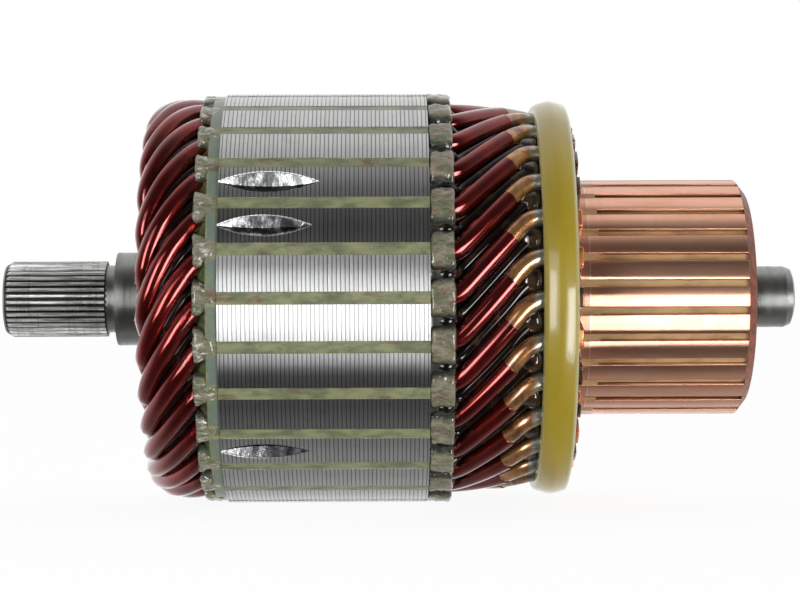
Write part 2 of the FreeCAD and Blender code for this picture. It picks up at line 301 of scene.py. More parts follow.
def make_patches():
    """Soft patches of a second colour, whose edges are as sharp as asked."""
    group, given, result = effect(
        "colour_patches",
        [("Place", "Vector", (0, 0, 0)), ("Colour", "Color", (1, 1, 1, 1)),
         ("Second Colour", "Color", (0, 0, 0, 1)), ("Scale", "Float", 400),
         ("Share", "Float", 0.5), ("Softness", "Float", 0.1)],
        [("Colour", "Color"), ("Mask", "Float")])
    noise = node(group, "TexNoise", {"Vector": given.outputs["Place"],
                                     "Scale": given.outputs["Scale"],
                                     "Detail": 4.0, "Roughness": 0.6}).outputs["Fac"]
    edge = maths(group, "SUBTRACT", 1.0, given.outputs["Share"])
    low = maths(group, "SUBTRACT", edge, given.outputs["Softness"])
    high = maths(group, "ADD", edge, given.outputs["Softness"])
    mask = ramped(group, noise, low, high)
    colour = blended(group, mask, given.outputs["Colour"], given.outputs["Second Colour"])
    group.links.new(colour, result.inputs["Colour"])
    group.links.new(mask, result.inputs["Mask"])
    return group


def make_sheets():
    """Edges of stacked sheets: a rounded height, a gap between sheets and a shade for each."""
    group, given, result = effect(
        "sheet_edges",
        [("Place", "Vector", (0, 0, 0)), ("Sheet", "Float", SHEET * MM)],
        [("Height", "Float"), ("Gap", "Float"), ("Shade", "Float")])
    along = node(group, "SeparateXYZ", {0: given.outputs["Place"]}).outputs["X"]
    wander = node(group, "TexNoise", {"Vector": given.outputs["Place"], "Scale": 110.0,
                                      "Detail": 1.0}).outputs["Fac"]
    count = maths(group, "ADD", maths(group, "DIVIDE", along, given.outputs["Sheet"]),
                  maths(group, "MULTIPLY", wander, 0.12))
    across = maths(group, "FRACT", count)
    from_edge = maths(group, "PINGPONG", across, 0.5)
    group.links.new(ramped(group, from_edge, 0.0, 0.24), result.inputs["Height"])
    group.links.new(ramped(group, from_edge, 0.05, 0.17, 1.0, 0.0), result.inputs["Gap"])
    shade = node(group, "TexWhiteNoise", {"W": maths(group, "FLOOR", count)},
                 noise_dimensions="1D").outputs["Value"]
    group.links.new(shade, result.inputs["Shade"])
    return group


def make_turning():
    """Marks that a lathe tool leaves round the shaft: fine height and a slow change of shade."""
    group, given, result = effect(
        "tool_marks", [("Place", "Vector", (0, 0, 0)), ("Scale", "Float", 9000)],
        [("Height", "Float"), ("Shade", "Float")])
    fine = node(group, "TexNoise", {"Vector": stretched(group, given.outputs["Place"], 1, 0.012),
                                    "Scale": given.outputs["Scale"], "Detail": 2.0}).outputs["Fac"]
    slow = node(group, "TexNoise", {"Vector": stretched(group, given.outputs["Place"], 1, 0.06),
                                    "Scale": maths(group, "MULTIPLY", given.outputs["Scale"], 0.12),
                                    "Detail": 3.0}).outputs["Fac"]
    group.links.new(fine, result.inputs["Height"])
    group.links.new(slow, result.inputs["Shade"])
    return group


def make_lumps():
    """Fine lumps with a few deeper specks."""
    group, given, result = effect(
        "lumps", [("Place", "Vector", (0, 0, 0)), ("Scale", "Float", 600)],
        [("Height", "Float"), ("Specks", "Float")])
    lumps = node(group, "TexNoise", {"Vector": given.outputs["Place"],
                                     "Scale": given.outputs["Scale"],
                                     "Detail": 3.0, "Roughness": 0.55}).outputs["Fac"]
    cells = node(group, "TexVoronoi", {"Vector": given.outputs["Place"],
                                       "Scale": maths(group, "MULTIPLY", given.outputs["Scale"], 1.7)
                                       }).outputs["Distance"]
    group.links.new(lumps, result.inputs["Height"])
    group.links.new(ramped(group, cells, 0.06, 0.14, 1.0, 0.0), result.inputs["Specks"])
    return group


PATCHES, SHEETS, TURNING, LUMPS = make_patches(), make_sheets(), make_turning(), make_lumps()


# ---- finishes --------------------------------------------------------------------------------

def begun(name, **constants):
    """Start a material.  Constants go on the shader's own sockets."""
    material = bpy.data.materials.new(name)
    material.use_nodes = True
    tree = material.node_tree
    shader = tree.nodes["Principled BSDF"]
    for socket, value in constants.items():
        shader.inputs[socket.replace("_", " ")].default_value = value
    place = node(tree, "TexCoord").outputs["Object"]
    return material, tree, shader, place


def using(tree, group, **inputs):
    """Place a shared effect in a material."""
    made = tree.nodes.new("ShaderNodeGroup")
    made.node_tree = group
    for key, value in inputs.items():
        socket = made.inputs[key.replace("_", " ")]
        if isinstance(value, bpy.types.NodeSocket):
            tree.links.new(value, socket)
        else:
            socket.default_value = value
    return made.outputs


def bumped(tree, shader, height, depth):
    """Turn a height into the shader's normal.  Depth is in millimetres."""
    bump = node(tree, "Bump", {"Height": height, "Strength": 1.0, "Distance": depth * MM})
    tree.links.new(bump.outputs[0], shader.inputs["Normal"])


def fed(tree, shader, **sockets):
    """Link worked-out values to the shader's sockets."""
    for socket, value in sockets.items():
        tree.links.new(value, shader.inputs[socket.replace("_", " ")])


def radius_at(tree, place):
    """Distance from the shaft's axis."""
    flat = node(tree, "Mapping", {"Vector": place, "Scale": (0, 1, 1)}).outputs[0]
    return node(tree, "VectorMath", {0: flat}, operation="LENGTH").outputs["Value"]


def from_slot(tree, place):
    """Pitches from the middle of the nearest slot, and the place along the shaft."""
    parts = node(tree, "SeparateXYZ", {0: place}).outputs
    turn = maths(tree, "DIVIDE", maths(tree, "ARCTAN2", parts["Y"], parts["Z"]), PITCH)
    return maths(tree, "PINGPONG", turn, 0.5), parts["X"]


def round_the_shaft(tree, shader):
    """Spread the gloss across the tool marks."""
    tangent = node(tree, "Tangent", direction_type="RADIAL", axis="X")
    tree.links.new(tangent.outputs[0], shader.inputs["Tangent"])


def rgb(red, green, blue):
    """An opaque colour."""
    return (red, green, blue, 1.0)


def core_steel():
    """Turned edges of the core's sheets, and the milled balance cuts."""
    material, tree, shader, place = begun(
        "core_steel", Metallic=1.0, Anisotropic=1.0, Anisotropic_Rotation=0.25)
    sheets = using(tree, SHEETS, Place=place)
    marks = using(tree, TURNING, Place=place, Scale=5000)
    tone = using(tree, PATCHES, Place=place, Colour=rgb(0.62, 0.63, 0.62),
                 Second_Colour=rgb(0.52, 0.52, 0.50), Scale=700, Share=0.35, Softness=0.15)
    shaded = blended(tree, maths(tree, "MULTIPLY", sheets["Shade"], 0.35), tone["Colour"],
                     rgb(0.47, 0.48, 0.48))
    # the balance cuts go below the turned surface and show no gaps between the sheets
    milled = ramped(tree, radius_at(tree, place), (CORE_RADIUS - 0.10) * MM,
                    (CORE_RADIUS - 0.05) * MM, 1.0, 0.0)
    gap = maths(tree, "MULTIPLY", sheets["Gap"], ramped(tree, milled, 0, 1, 1.0, 0.2))
    scored = using(tree, PATCHES, Place=stretched(tree, place, 1.6, 0.8),
                   Colour=rgb(0.70, 0.71, 0.71), Second_Colour=rgb(0.16, 0.165, 0.17),
                   Scale=520, Share=0.5, Softness=0.1)
    shaded = blended(tree, milled, shaded, scored["Colour"])
    fed(tree, shader, Base_Color=blended(tree, gap, shaded, rgb(0.17, 0.17, 0.165)),
        Roughness=maths(tree, "ADD", maths(tree, "MULTIPLY", marks["Shade"], 0.1),
                        ramped(tree, milled, 0, 1, 0.27, 0.16)))
    height = maths(tree, "ADD", maths(tree, "MULTIPLY", sheets["Height"],
                                      ramped(tree, milled, 0, 1, 1.0, 0.3)),
                   maths(tree, "MULTIPLY", marks["Height"], 0.06))
    chatter = using(tree, LUMPS, Place=stretched(tree, place, 1.0, 0.8), Scale=700)
    height = maths(tree, "ADD", height, maths(
        tree, "MULTIPLY", chatter["Height"], maths(tree, "MULTIPLY", milled, 7.0)))
    bumped(tree, shader, height, 0.014)
    round_the_shaft(tree, shader)
    return material


def shaft_steel():
    """Ground and oiled steel, with a painted highlight on the tops of the teeth and painted shade
    between them.
    """
    material, tree, shader, place = begun(
        "shaft_steel", Anisotropic=0.6, Anisotropic_Rotation=0.25)
    marks = using(tree, TURNING, Place=place, Scale=7000)
    oil = using(tree, PATCHES, Place=place, Colour=rgb(0.34, 0.35, 0.33),
                Second_Colour=rgb(0.24, 0.25, 0.235), Scale=260, Share=0.5, Softness=0.2)
    turned = blended(tree, maths(tree, "MULTIPLY", marks["Shade"], 0.3), oil["Colour"],
                     rgb(0.42, 0.43, 0.41))
    # rolled teeth: a painted highlight on the tops, streaked along the shaft, and painted shade in
    # the spaces
    along = node(tree, "SeparateXYZ", {0: place}).outputs["X"]
    plain = ramped(tree, along, SERRATION_END * MM, (SERRATION_END + 0.2) * MM)
    streaked_painted_highlight = using(tree, PATCHES, Place=stretched(tree, place, 0.06, 1),
                    Colour=rgb(0.95, 0.96, 0.93), Second_Colour=rgb(0.40, 0.41, 0.39),
                    Scale=3400, Share=0.5, Softness=0.12)
    # the tops of the teeth get the painted highlight, the spaces below them a near-black painted
    # shade
    top = ramped(tree, radius_at(tree, place), (TOOTH_TIP - 0.4) * MM, (TOOTH_TIP - 0.1) * MM)
    # the end face and its chamfer are turned plain
    end = ramped(tree, along, (SHAFT_START + 0.15) * MM, (SHAFT_START + 0.35) * MM, 1.0, 0.0)
    plain = maths(tree, "MAXIMUM", plain, end)
    teeth_painted_light_and_shade = blended(tree, top, rgb(0.018, 0.018, 0.017), streaked_painted_highlight["Colour"])
    fed(tree, shader, Base_Color=blended(tree, plain, teeth_painted_light_and_shade, turned),
        Metallic=ramped(tree, plain, 0, 1, 0.55, 0.9),
        Roughness=ramped(tree, marks["Shade"], 0.3, 0.7, 0.24, 0.46))
    bumped(tree, shader, maths(tree, "MULTIPLY", marks["Height"], plain), 0.006)
    round_the_shaft(tree, shader)
    return material


OLIVE, DARK_OLIVE = (0.25, 0.26, 0.135), (0.11, 0.132, 0.072)


def olive(tree, place, light, dark):
    """The olive tones of the resin, with brown stains drawn out along the shaft."""
    tone = using(tree, PATCHES, Place=stretched(tree, place, 0.8, 1.8),
                 Colour=rgb(*light), Second_Colour=rgb(*dark),
                 Scale=420, Share=0.48, Softness=0.17)
    stained = using(tree, PATCHES, Place=stretched(tree, place, 0.4, 1.4),
                    Colour=tone["Colour"], Second_Colour=rgb(0.13, 0.075, 0.045),
                    Scale=420, Share=0.36, Softness=0.09)
    return stained["Colour"]


def green_resin(name, light, dark):
    """Green resin under varnish, in two tones."""
    material, tree, shader, place = begun(
        name, Coat_Weight=0.8, Coat_Roughness=0.08, Roughness=0.55,
        Subsurface_Weight=0.15, Subsurface_Scale=0.0006)
    lumps = using(tree, LUMPS, Place=stretched(tree, place, 0.5, 1), Scale=620)
    fed(tree, shader, Base_Color=olive(tree, place, light, dark))
    bumped(tree, shader, lumps["Height"], 0.25)
    return material


def plate_resin():
    """The head's end insulator: bluish over the teeth, with olive resin at the slots."""
    material, tree, shader, place = begun(
        "plate_resin", Coat_Weight=0.8, Coat_Roughness=0.1, Roughness=0.5)
    pitches, along = from_slot(tree, place)
    wander = node(tree, "TexNoise", {"Vector": place, "Scale": 700.0}).outputs["Fac"]
    pitches = maths(tree, "ADD", pitches, maths(tree, "MULTIPLY", wander, 0.16))
    # olive resin also runs along the outer edge
    edge = ramped(tree, along, (HEAD_FACE + 0.05) * MM, (HEAD_FACE + 0.35) * MM)
    bluish = using(tree, PATCHES, Place=place, Colour=rgb(0.135, 0.175, 0.145),
                   Second_Colour=rgb(0.18, 0.21, 0.125), Scale=700, Share=0.42, Softness=0.12)
    lumps = using(tree, LUMPS, Place=place, Scale=520)
    share = maths(tree, "MULTIPLY", ramped(tree, pitches, 0.24, 0.29), edge)
    fed(tree, shader, Base_Color=blended(
        tree, share, olive(tree, place, OLIVE, DARK_OLIVE), bluish["Colour"]))
    bumped(tree, shader, lumps["Height"], 0.14)
    return material


def slot_paper():
    """Insulating paper soaked in varnish."""
    material, tree, shader, place = begun(
        "slot_paper", Coat_Weight=1.0, Coat_Roughness=0.04, Coat_IOR=1.6, Roughness=0.6)
    tone = using(tree, PATCHES, Place=stretched(tree, place, 0.7, 1.4),
                 Colour=rgb(0.265, 0.232, 0.168), Second_Colour=rgb(0.115, 0.134, 0.064),
                 Scale=520, Share=0.5, Softness=0.14)
    # veins, pale at the head where they are partly a painted highlight on the wet wrinkles and
    # reddish at the leads, and painted shade in the valleys between the cuffs
    pitches, along = from_slot(tree, place)
    vein_tone_and_painted_highlight = blended(tree, ramped(tree, along, -0.5 * MM, 0.5 * MM), rgb(0.66, 0.62, 0.55),
                   rgb(0.20, 0.125, 0.09))
    veins = using(tree, PATCHES, Place=stretched(tree, place, 0.6, 1.3), Colour=tone["Colour"],
                  Second_Colour=vein_tone_and_painted_highlight, Scale=1300, Share=0.42, Softness=0.07)
    # painted shade: the paper darkens to near black towards the valleys between the cuffs
    valley_painted_shade = blended(tree, ramped(tree, pitches, 0.26, 0.40), veins["Colour"],
                    rgb(0.022, 0.025, 0.015))
    lumps = using(tree, LUMPS, Place=stretched(tree, place, 0.7, 1.2), Scale=900)
    fed(tree, shader, Base_Color=valley_painted_shade)
    height = maths(tree, "ADD", lumps["Height"], maths(tree, "MULTIPLY", veins["Mask"], 0.12))
    bumped(tree, shader, height, 0.85)
    return material


def dark_varnish(name, ior, share):
    """Varnish nearly black, with a share of brown where it is thin."""
    material, tree, shader, place = begun(
        name, Coat_Weight=1.0, Coat_Roughness=0.012, Coat_IOR=ior, Roughness=0.5,
        Specular_IOR_Level=0.0)
    tone = using(tree, PATCHES, Place=place, Colour=rgb(0.004, 0.0032, 0.0028),
                 Second_Colour=rgb(0.040, 0.021, 0.009), Scale=420, Share=share, Softness=0.10)
    lumps = using(tree, LUMPS, Place=place, Scale=300)
    pores = using(tree, LUMPS, Place=place, Scale=1300)
    fed(tree, shader, Base_Color=tone["Colour"])
    bumped(tree, shader, maths(tree, "ADD", lumps["Height"], maths(
        tree, "MULTIPLY", pores["Specks"], tone["Mask"])), 0.07)
    return material


def wire_enamel():
    """Clear dark red enamel over copper."""
    material, tree, shader, place = begun(
        "wire_enamel", Metallic=0.9, Coat_Weight=1.0, Coat_Roughness=0.03, Coat_IOR=1.48,
        Specular_IOR_Level=0.2)
    tone = using(tree, PATCHES, Place=place, Colour=rgb(0.25, 0.014, 0.010),
                 Second_Colour=rgb(0.12, 0.008, 0.007), Scale=200, Share=0.5, Softness=0.25)
    lumps = using(tree, LUMPS, Place=place, Scale=420)
    fed(tree, shader,
        Base_Color=blended(tree, maths(tree, "MULTIPLY", lumps["Specks"], 0.35), tone["Colour"],
                           rgb(0.03, 0.004, 0.003)),
        Roughness=ramped(tree, lumps["Height"], 0.3, 0.7, 0.13, 0.24))
    # the enamel is wrinkled where the wire bends out of its slot at the head
    along = node(tree, "SeparateXYZ", {0: place}).outputs["X"]
    bent = maths(tree, "MULTIPLY",
                 ramped(tree, along, (HEAD_CUFF_END - 3.0) * MM, (HEAD_CUFF_END - 1.6) * MM),
                 ramped(tree, along, HEAD_CUFF_END * MM, (HEAD_CUFF_END + 1.0) * MM, 1.0, 0.0))
    wrinkles = using(tree, LUMPS, Place=stretched(tree, place, 1.6, 0.8), Scale=620)
    height = maths(tree, "ADD", lumps["Height"], maths(
        tree, "MULTIPLY", wrinkles["Height"], maths(tree, "MULTIPLY", bent, 9.0)))
    bumped(tree, shader, height, 0.02)
    return material


def bare_copper():
    """Stripped conductors, tinned at the ring and scorched at the welds."""
    material, tree, shader, place = begun(
        "bare_copper", Metallic=0.8, Coat_Weight=1.0, Coat_Roughness=0.03, Coat_IOR=1.75)
    tone = using(tree, PATCHES, Place=place, Colour=rgb(0.56, 0.27, 0.09),
                 Second_Colour=rgb(0.20, 0.085, 0.03), Scale=520, Share=0.5, Softness=0.12)
    scorched = using(tree, PATCHES, Place=place, Colour=rgb(0.85, 0.28, 0.08),
                     Second_Colour=rgb(0.07, 0.03, 0.014), Scale=150, Share=0.5,
                     Softness=0.05)
    # the last stretch before the banding ring is tinned
    along = node(tree, "SeparateXYZ", {0: place}).outputs["X"]
    tinned = ramped(tree, along, (RING_START - 1.5) * MM, (RING_START - 0.5) * MM)
    raw = ramped(tree, along, (RING_END - 0.4) * MM, RING_END * MM)
    fed(tree, shader,
        Base_Color=blended(tree, raw, blended(tree, tinned, tone["Colour"],
                                              rgb(0.36, 0.35, 0.30)), scorched["Colour"]),
        Roughness=ramped(tree, tone["Mask"], 0, 1, 0.26, 0.4))
    lumps = using(tree, LUMPS, Place=place, Scale=420)
    bumped(tree, shader, lumps["Height"], 0.04)
    return material


def commutator_copper():
    """Turned copper, with painted shade on the walls of the sawn gaps."""
    material, tree, shader, place = begun(
        "commutator_copper", Metallic=1.0, Anisotropic=1.0, Anisotropic_Rotation=0.25)
    marks = using(tree, TURNING, Place=place, Scale=20000)
    tone = using(tree, PATCHES, Place=stretched(tree, place, 0.4, 1.5),
                 Colour=rgb(0.95, 0.53, 0.37), Second_Colour=rgb(0.86, 0.44, 0.29),
                 Scale=300, Share=0.45, Softness=0.2)
    # the shoulder next to the risers was left by an earlier cut; the fine bright line at its end is
    # a painted highlight
    along = node(tree, "SeparateXYZ", {0: place}).outputs["X"]
    # painted shade: the walls of the sawn gaps are coloured dark
    gap_wall_painted_shade = ramped(tree, radius_at(tree, place), (TRACK_RADIUS - 0.40) * MM,
                  (TRACK_RADIUS - 0.22) * MM, 1.0, 0.0)
    gap_wall_painted_shade = maths(tree, "MULTIPLY", gap_wall_painted_shade, ramped(
        tree, along, RISER_END * MM, (RISER_END + 0.2) * MM))
    step = (RISER_END + 1.62) * MM
    # painted highlight: a thin near-white line at the shoulder's edge
    line = node(tree, "Math", {0: along, 1: step, 2: 0.07 * MM}, operation="COMPARE").outputs[0]
    fed(tree, shader,
        Base_Color=blended(tree, gap_wall_painted_shade, blended(tree, line, tone["Colour"], rgb(1.0, 0.86, 0.78)),
                           rgb(0.30, 0.15, 0.09)),
        Roughness=maths(tree, "ADD", ramped(tree, marks["Shade"], 0.2, 0.8, 0.33, 0.39),
                        ramped(tree, along, step, step + 0.1 * MM, 0.1, 0.0)))
    bumped(tree, shader, marks["Height"], 0.002)
    round_the_shaft(tree, shader)
    return material


def mica_plate():
    """Bonded mica, sawn and undercut."""
    material, tree, shader, place = begun("mica_plate", Coat_Weight=0.3, Coat_Roughness=0.3)
    tone = using(tree, PATCHES, Place=stretched(tree, place, 0.35, 1),
                 Colour=rgb(0.46, 0.29, 0.13), Second_Colour=rgb(0.30, 0.17, 0.07),
                 Scale=700, Share=0.45, Softness=0.15)
    lumps = using(tree, LUMPS, Place=stretched(tree, place, 0.3, 1), Scale=1500)
    fed(tree, shader, Base_Color=tone["Colour"],
        Roughness=ramped(tree, lumps["Height"], 0.3, 0.7, 0.45, 0.65))
    bumped(tree, shader, lumps["Height"], 0.04)
    return material


def hub_moulding():
    """Red-brown moulding with pale specks of filler."""
    material, tree, shader, place = begun("hub_moulding", Coat_Weight=0.1, Coat_Roughness=0.25,
                                          Specular_IOR_Level=0.25)
    tone = using(tree, PATCHES, Place=place, Colour=rgb(0.25, 0.058, 0.025),
                 Second_Colour=rgb(0.13, 0.032, 0.016), Scale=900, Share=0.5, Softness=0.1)
    lumps = using(tree, LUMPS, Place=place, Scale=2200)
    fed(tree, shader, Base_Color=blended(tree, maths(tree, "MULTIPLY", lumps["Specks"], 0.4),
                                         tone["Colour"], rgb(0.3, 0.14, 0.09)),
        Roughness=ramped(tree, lumps["Height"], 0.3, 0.7, 0.35, 0.5))
    bumped(tree, shader, lumps["Height"], 0.03)
    return material


def band_resin():
    """Yellow resin over wound glass threads."""
    material, tree, shader, place = begun(
        "band_resin", Coat_Weight=1.0, Coat_Roughness=0.10, Coat_IOR=1.43, Roughness=0.42,
        Sheen_Weight=0.35, Sheen_Roughness=0.35, Sheen_Tint=(0.95, 0.9, 0.6, 1.0),
        Subsurface_Weight=0.2, Subsurface_Scale=0.0008)
    # glass threads wound round the ring show faintly through the resin
    threads = using(tree, TURNING, Place=place, Scale=2600)
    tone = using(tree, PATCHES, Place=stretched(tree, place, 1, 0.5),
                 Colour=rgb(0.335, 0.24, 0.006), Second_Colour=rgb(0.27, 0.195, 0.005),
                 Scale=160, Share=0.5, Softness=0.3)
    along = node(tree, "SeparateXYZ", {0: place}).outputs["X"]
    middle = (RING_START + RING_END) / 2 * MM
    from_middle = maths(tree, "ABSOLUTE", maths(tree, "SUBTRACT", along, middle))
    rim = ramped(tree, from_middle, (RING_END - RING_START) * 0.40 * MM,
                 (RING_END - RING_START) * 0.52 * MM)
    shaded = blended(tree, maths(tree, "MULTIPLY", threads["Shade"], 0.25), tone["Colour"],
                     rgb(0.46, 0.37, 0.05))
    fed(tree, shader, Base_Color=blended(tree, maths(tree, "MULTIPLY", rim, 0.7), shaded,
                                         rgb(0.42, 0.42, 0.24)))
    bumped(tree, shader, threads["Shade"], 0.02)
    return material


# ---- winding ---------------------------------------------------------------------------------

# The way of an upper conductor from its slot, as (station, pitches, radius).  It starts in the
# middle of the core and turns over into the lower layer at the head.
HEAD_WAY = [(-20.0, 0.0, UPPER), (-25.6, 0.0, UPPER), (-27.3, 0.08, UPPER + 0.1),
            (-28.6, 0.28, 27.75), (-29.9, 0.55, 27.95), (-31.3, 0.88, 28.0),
            (-32.7, 1.25, 27.85), (-34.0, 1.68, 27.2), (-34.9, 2.1, 26.5),
            (-35.35, 2.44, 25.8)]
UNDER_WAY = [(-35.35, 2.58, 24.9), (-34.9, 2.92, 24.4), (-34.0, 3.34, 24.3),
             (-32.7, 3.77, 24.35), (-31.3, 4.14, 24.45), (-29.9, 4.47, LOWER),
             (-28.6, 4.74, LOWER), (-27.3, 4.93, LOWER), (-25.6, 5.0, LOWER),
             (-20.0, 5.0, LOWER)]
LEAD_WAY = [(0.0, 0.0, 0.0), (5.8, 0.0, 0.0), (7.6, 0.06, -0.05), (9.4, 0.36, -0.2),
            (12.2, 0.87, -0.45), (13.6, 1.13, -0.55), (STRIPPED, 1.38, -0.65)]
TAIL_WAY = [(13.4, 1.09, -0.55), (STRIPPED, 1.40, -0.66), (16.0, 1.62, -0.75),
            (17.2, 1.82, -0.95), (18.6, 1.94, -1.2), (20.8, 2.0, -1.9), (23.2, 2.0, -2.6)]


def lead(way, slot, direction, radius, share=1.0):
    """A lead's way from its slot, slanting up or down, its drop as a share of the upper one's."""
    return [(station, slot + direction * pitches, radius + drop * share)
            for station, pitches, drop in way]


def make_wires():
    """One enamelled hairpin, bent as on the former, and a copy in every slot."""
    route = (lead(LEAD_WAY, 0, -1, UPPER)[::-1] + HEAD_WAY + UNDER_WAY
             + lead(LEAD_WAY, HEAD_SPAN, 1, LOWER, LOWER_FALL))
    upper, lower = len(LEAD_WAY) + len(HEAD_WAY), len(UNDER_WAY) + len(LEAD_WAY)
    thins = [1.0] * (upper - 1) + [0.92] + [0.86] * lower
    wire = smooth(bent_wire("hairpin_wire_01", route, WIRE, thins), 60)
    return [wire] + [turned_on(wire, step, f"hairpin_wire_{step + 1:02d}")
                     for step in range(1, SLOTS)]


def make_tails():
    """The stripped ends of the conductors, from the enamel to the risers."""
    upper = bent_wire("stripped_end", lead(TAIL_WAY, 0, -1, UPPER), WIRE - 0.12)
    lower = bent_wire("stripped_end_lower",
                      lead(TAIL_WAY, HEAD_SPAN, 1, LOWER, LOWER_FALL), WIRE - 0.3)
    return one_per_slot(smooth(joined([upper, lower], "stripped_ends"), 60), "stripped_ends")


def make_welds():
    """Flattened conductor tips stacked on each riser."""
    top, foot = 25.45, RISER_RADIUS - 0.1
    length, width, height, edge = RISER_END - RISER_START - 0.5, 2.7, 2.6, 0.22
    halves = [block("weld_tip", RISER_END - length / 2, middle, length, width, height, edge)
              for middle in (top - height / 2, foot + height / 2)]
    return one_per_slot(smooth(joined(halves, "weld_tips"), 50), "weld_tips")


def make_fillets():
    """Varnish that ran into the valleys between the conductors."""
    head = [(station - 0.1, pitches + 0.5, radius - 0.62)
            for station, pitches, radius in HEAD_WAY[1:-1]]
    valley = [(LEAD_FACE - 0.9, -0.5, PLATE_RADIUS - 2.1),
              (LEAD_FACE + 0.2, -0.5, PLATE_RADIUS - 1.35),
              (LEAD_CUFF_END - 0.9, -0.5, PLATE_RADIUS - 1.3),
              (LEAD_CUFF_END - 0.1, -0.52, PLATE_RADIUS - 1.9)]
    leads = valley + [(station, pitches - 0.5, radius - 0.75)
                      for station, pitches, radius in lead(LEAD_WAY, 0, -1, UPPER)[2:]]
    leads += [(station, pitches - 0.5, radius - 0.8)
              for station, pitches, radius in lead(TAIL_WAY, 0, -1, UPPER)[2:5]]
    pieces = [bent_wire("head_fillet", head, 0.72, sides=2),
              bent_wire("lead_fillet", leads, 0.85, sides=2)]
    return one_per_slot(smooth(joined(pieces, "varnish_fillets"), 60), "varnish_fillets")


def make_pools():
    """Pools of varnish between the stripped ends, in front of the banding ring."""
    bpy.ops.object.select_all(action="DESELECT")
    bpy.ops.mesh.primitive_uv_sphere_add(segments=24, ring_count=14, radius=1)
    pool = started("varnish_pool")
    middle, size, pitches = Vector((17.9, 0, 24.95)), Vector((2.3, 2.1, 1.75)), -1.45
    pool.data.transform(Matrix.LocRotScale(middle * MM, None, size * MM))
    pool.data.transform(Matrix.Rotation(pitches * PITCH, 4, "X"))
    pools = one_per_slot(pool, "varnish_pools")
    lumpy = bpy.data.textures.new("varnish_lumps", "CLOUDS")
    lumpy.noise_scale = 1.6 * MM
    finished(pools, "DISPLACE", texture=lumpy, strength=0.3 * MM, texture_coords="LOCAL")
    return smooth(pools, 80)


def make_beds():
    """The varnished layer that shows under the upper conductors at both ends."""
    head = lathe("varnish_bed_head", [
        (HEAD_CUFF_END + 0.3, 26.9), (-29.5, 27.0), (-31.5, 26.85), (-33.4, 26.2), (-34.3, 25.6),
        (-33.2, 25.4), (-31, 25.75), (HEAD_CUFF_END + 0.3, 25.85)])
    leads = lathe("varnish_bed_leads", [
        (LEAD_CUFF_END - 0.3, 26.7), (12, 26.3), (16, 25.7), (RING_START + 1.5, 25.0),
        (RING_START + 1.5, 24.2), (16, 24.8), (12, 25.3), (LEAD_CUFF_END - 0.3, 25.75)])
    behind = lathe("varnish_bed_risers", [
        (RING_END - 0.5, 26.0), (RISER_END - 0.55, 24.9), (RISER_END - 0.45, RISER_RADIUS + 0.2),
        (RING_END - 0.5, RISER_RADIUS + 0.2)])
    beds = joined([head, leads, behind], "varnish_beds")
    lumpy = bpy.data.textures.new("bed_lumps", "CLOUDS")
    lumpy.noise_scale = 2.5 * MM
    finished(beds, "DISPLACE", texture=lumpy, strength=0.35 * MM, texture_coords="LOCAL")
    return smooth(beds, 60)


# ---- slot papers -----------------------------------------------------------------------------

def folded_cuff(name, start, end, top, width, narrows):
    """One cuff: paper rounded over the slot, that widens or narrows along the shaft."""
    length, height = end - start, 4.4
    squareness = 0.66        # 1 leaves the section round, less makes it squarer

    def squarer(share):
        return math.copysign(abs(share) ** squareness, share) / 2
    bpy.ops.object.select_all(action="DESELECT")
    bpy.ops.mesh.primitive_cylinder_add(vertices=24, radius=1, depth=length * MM,
                                        rotation=(0, math.pi / 2, 0))
    cuff = settled(started(name))
    for corner in cuff.data.vertices:
        share = 1 + narrows * corner.co.x / (length * MM)
        corner.co.y = squarer(corner.co.y) * width * share * MM
        corner.co.z = squarer(corner.co.z) * height * MM
    finished(cuff, "BEVEL", width=0.4 * MM, segments=2, limit_method="ANGLE",
             angle_limit=math.radians(60))
    cuff.data.transform(Matrix.Translation(
        Vector(((start + end) / 2, 0, top - height / 2)) * MM))

    def cut_across():
        """Cut the long edges, so that creases also run across the cuff."""
        bpy.ops.mesh.select_mode(type="EDGE")
        bpy.ops.mesh.select_all(action="DESELECT")
        shape = bmesh.from_edit_mesh(cuff.data)
        for edge in shape.edges:
            edge.select_set(edge.calc_length() > 1.6 * MM)
        bmesh.update_edit_mesh(cuff.data)
        bpy.ops.mesh.subdivide(number_cuts=6)

    def refine():
        """Halve every edge."""
        bpy.ops.mesh.select_mode(type="VERT")
        bpy.ops.mesh.select_all(action="SELECT")
        bpy.ops.mesh.subdivide(number_cuts=1)
    return edited(cuff, cut_across, refine, outward)


def make_papers():
    """Folded cuffs that close the slots, stiff with varnish."""
    cuffs = [folded_cuff("head_cuff", HEAD_CUFF_END - 0.9, HEAD_FACE + 1.2, CUFF_RADIUS + 0.5,
                         4.2, -0.65),
             folded_cuff("lead_cuff", CORE_END + 0.05, LEAD_CUFF_END + 0.1,
                         PLATE_RADIUS + 0.3, 5.75, 0.06)]
    papers = one_per_slot(joined(cuffs, "slot_cuff"), "slot_papers")
    for name, size, depth in (("paper_creases", 2.2, 0.5), ("paper_wrinkles", 0.8, 0.35)):
        crumpled = bpy.data.textures.new(name, "CLOUDS")
        crumpled.noise_scale = size * MM
        finished(papers, "DISPLACE", texture=crumpled, strength=depth * MM, texture_coords="LOCAL")
    return smooth(papers, 60)


def make_seal(name, outline, roughly):
    """What fills the space between the cuffs on an end insulator."""
    seal = lathe(name, outline)
    lumpy = bpy.data.textures.new(name + "_lumps", "CLOUDS")
    lumpy.noise_scale = 1.8 * MM
    finished(seal, "DISPLACE", texture=lumpy, strength=roughly * MM, texture_coords="LOCAL")
    return smooth(seal, 60)


HEAD_SEAL = [
    (HEAD_FACE + 0.3, 28.9), (HEAD_FACE - 0.3, 28.3), (HEAD_CUFF_END, 27.9),
    (HEAD_CUFF_END - 0.6, 27.5), (HEAD_CUFF_END - 0.8, 26.6), (HEAD_FACE + 0.3, 26.0)]
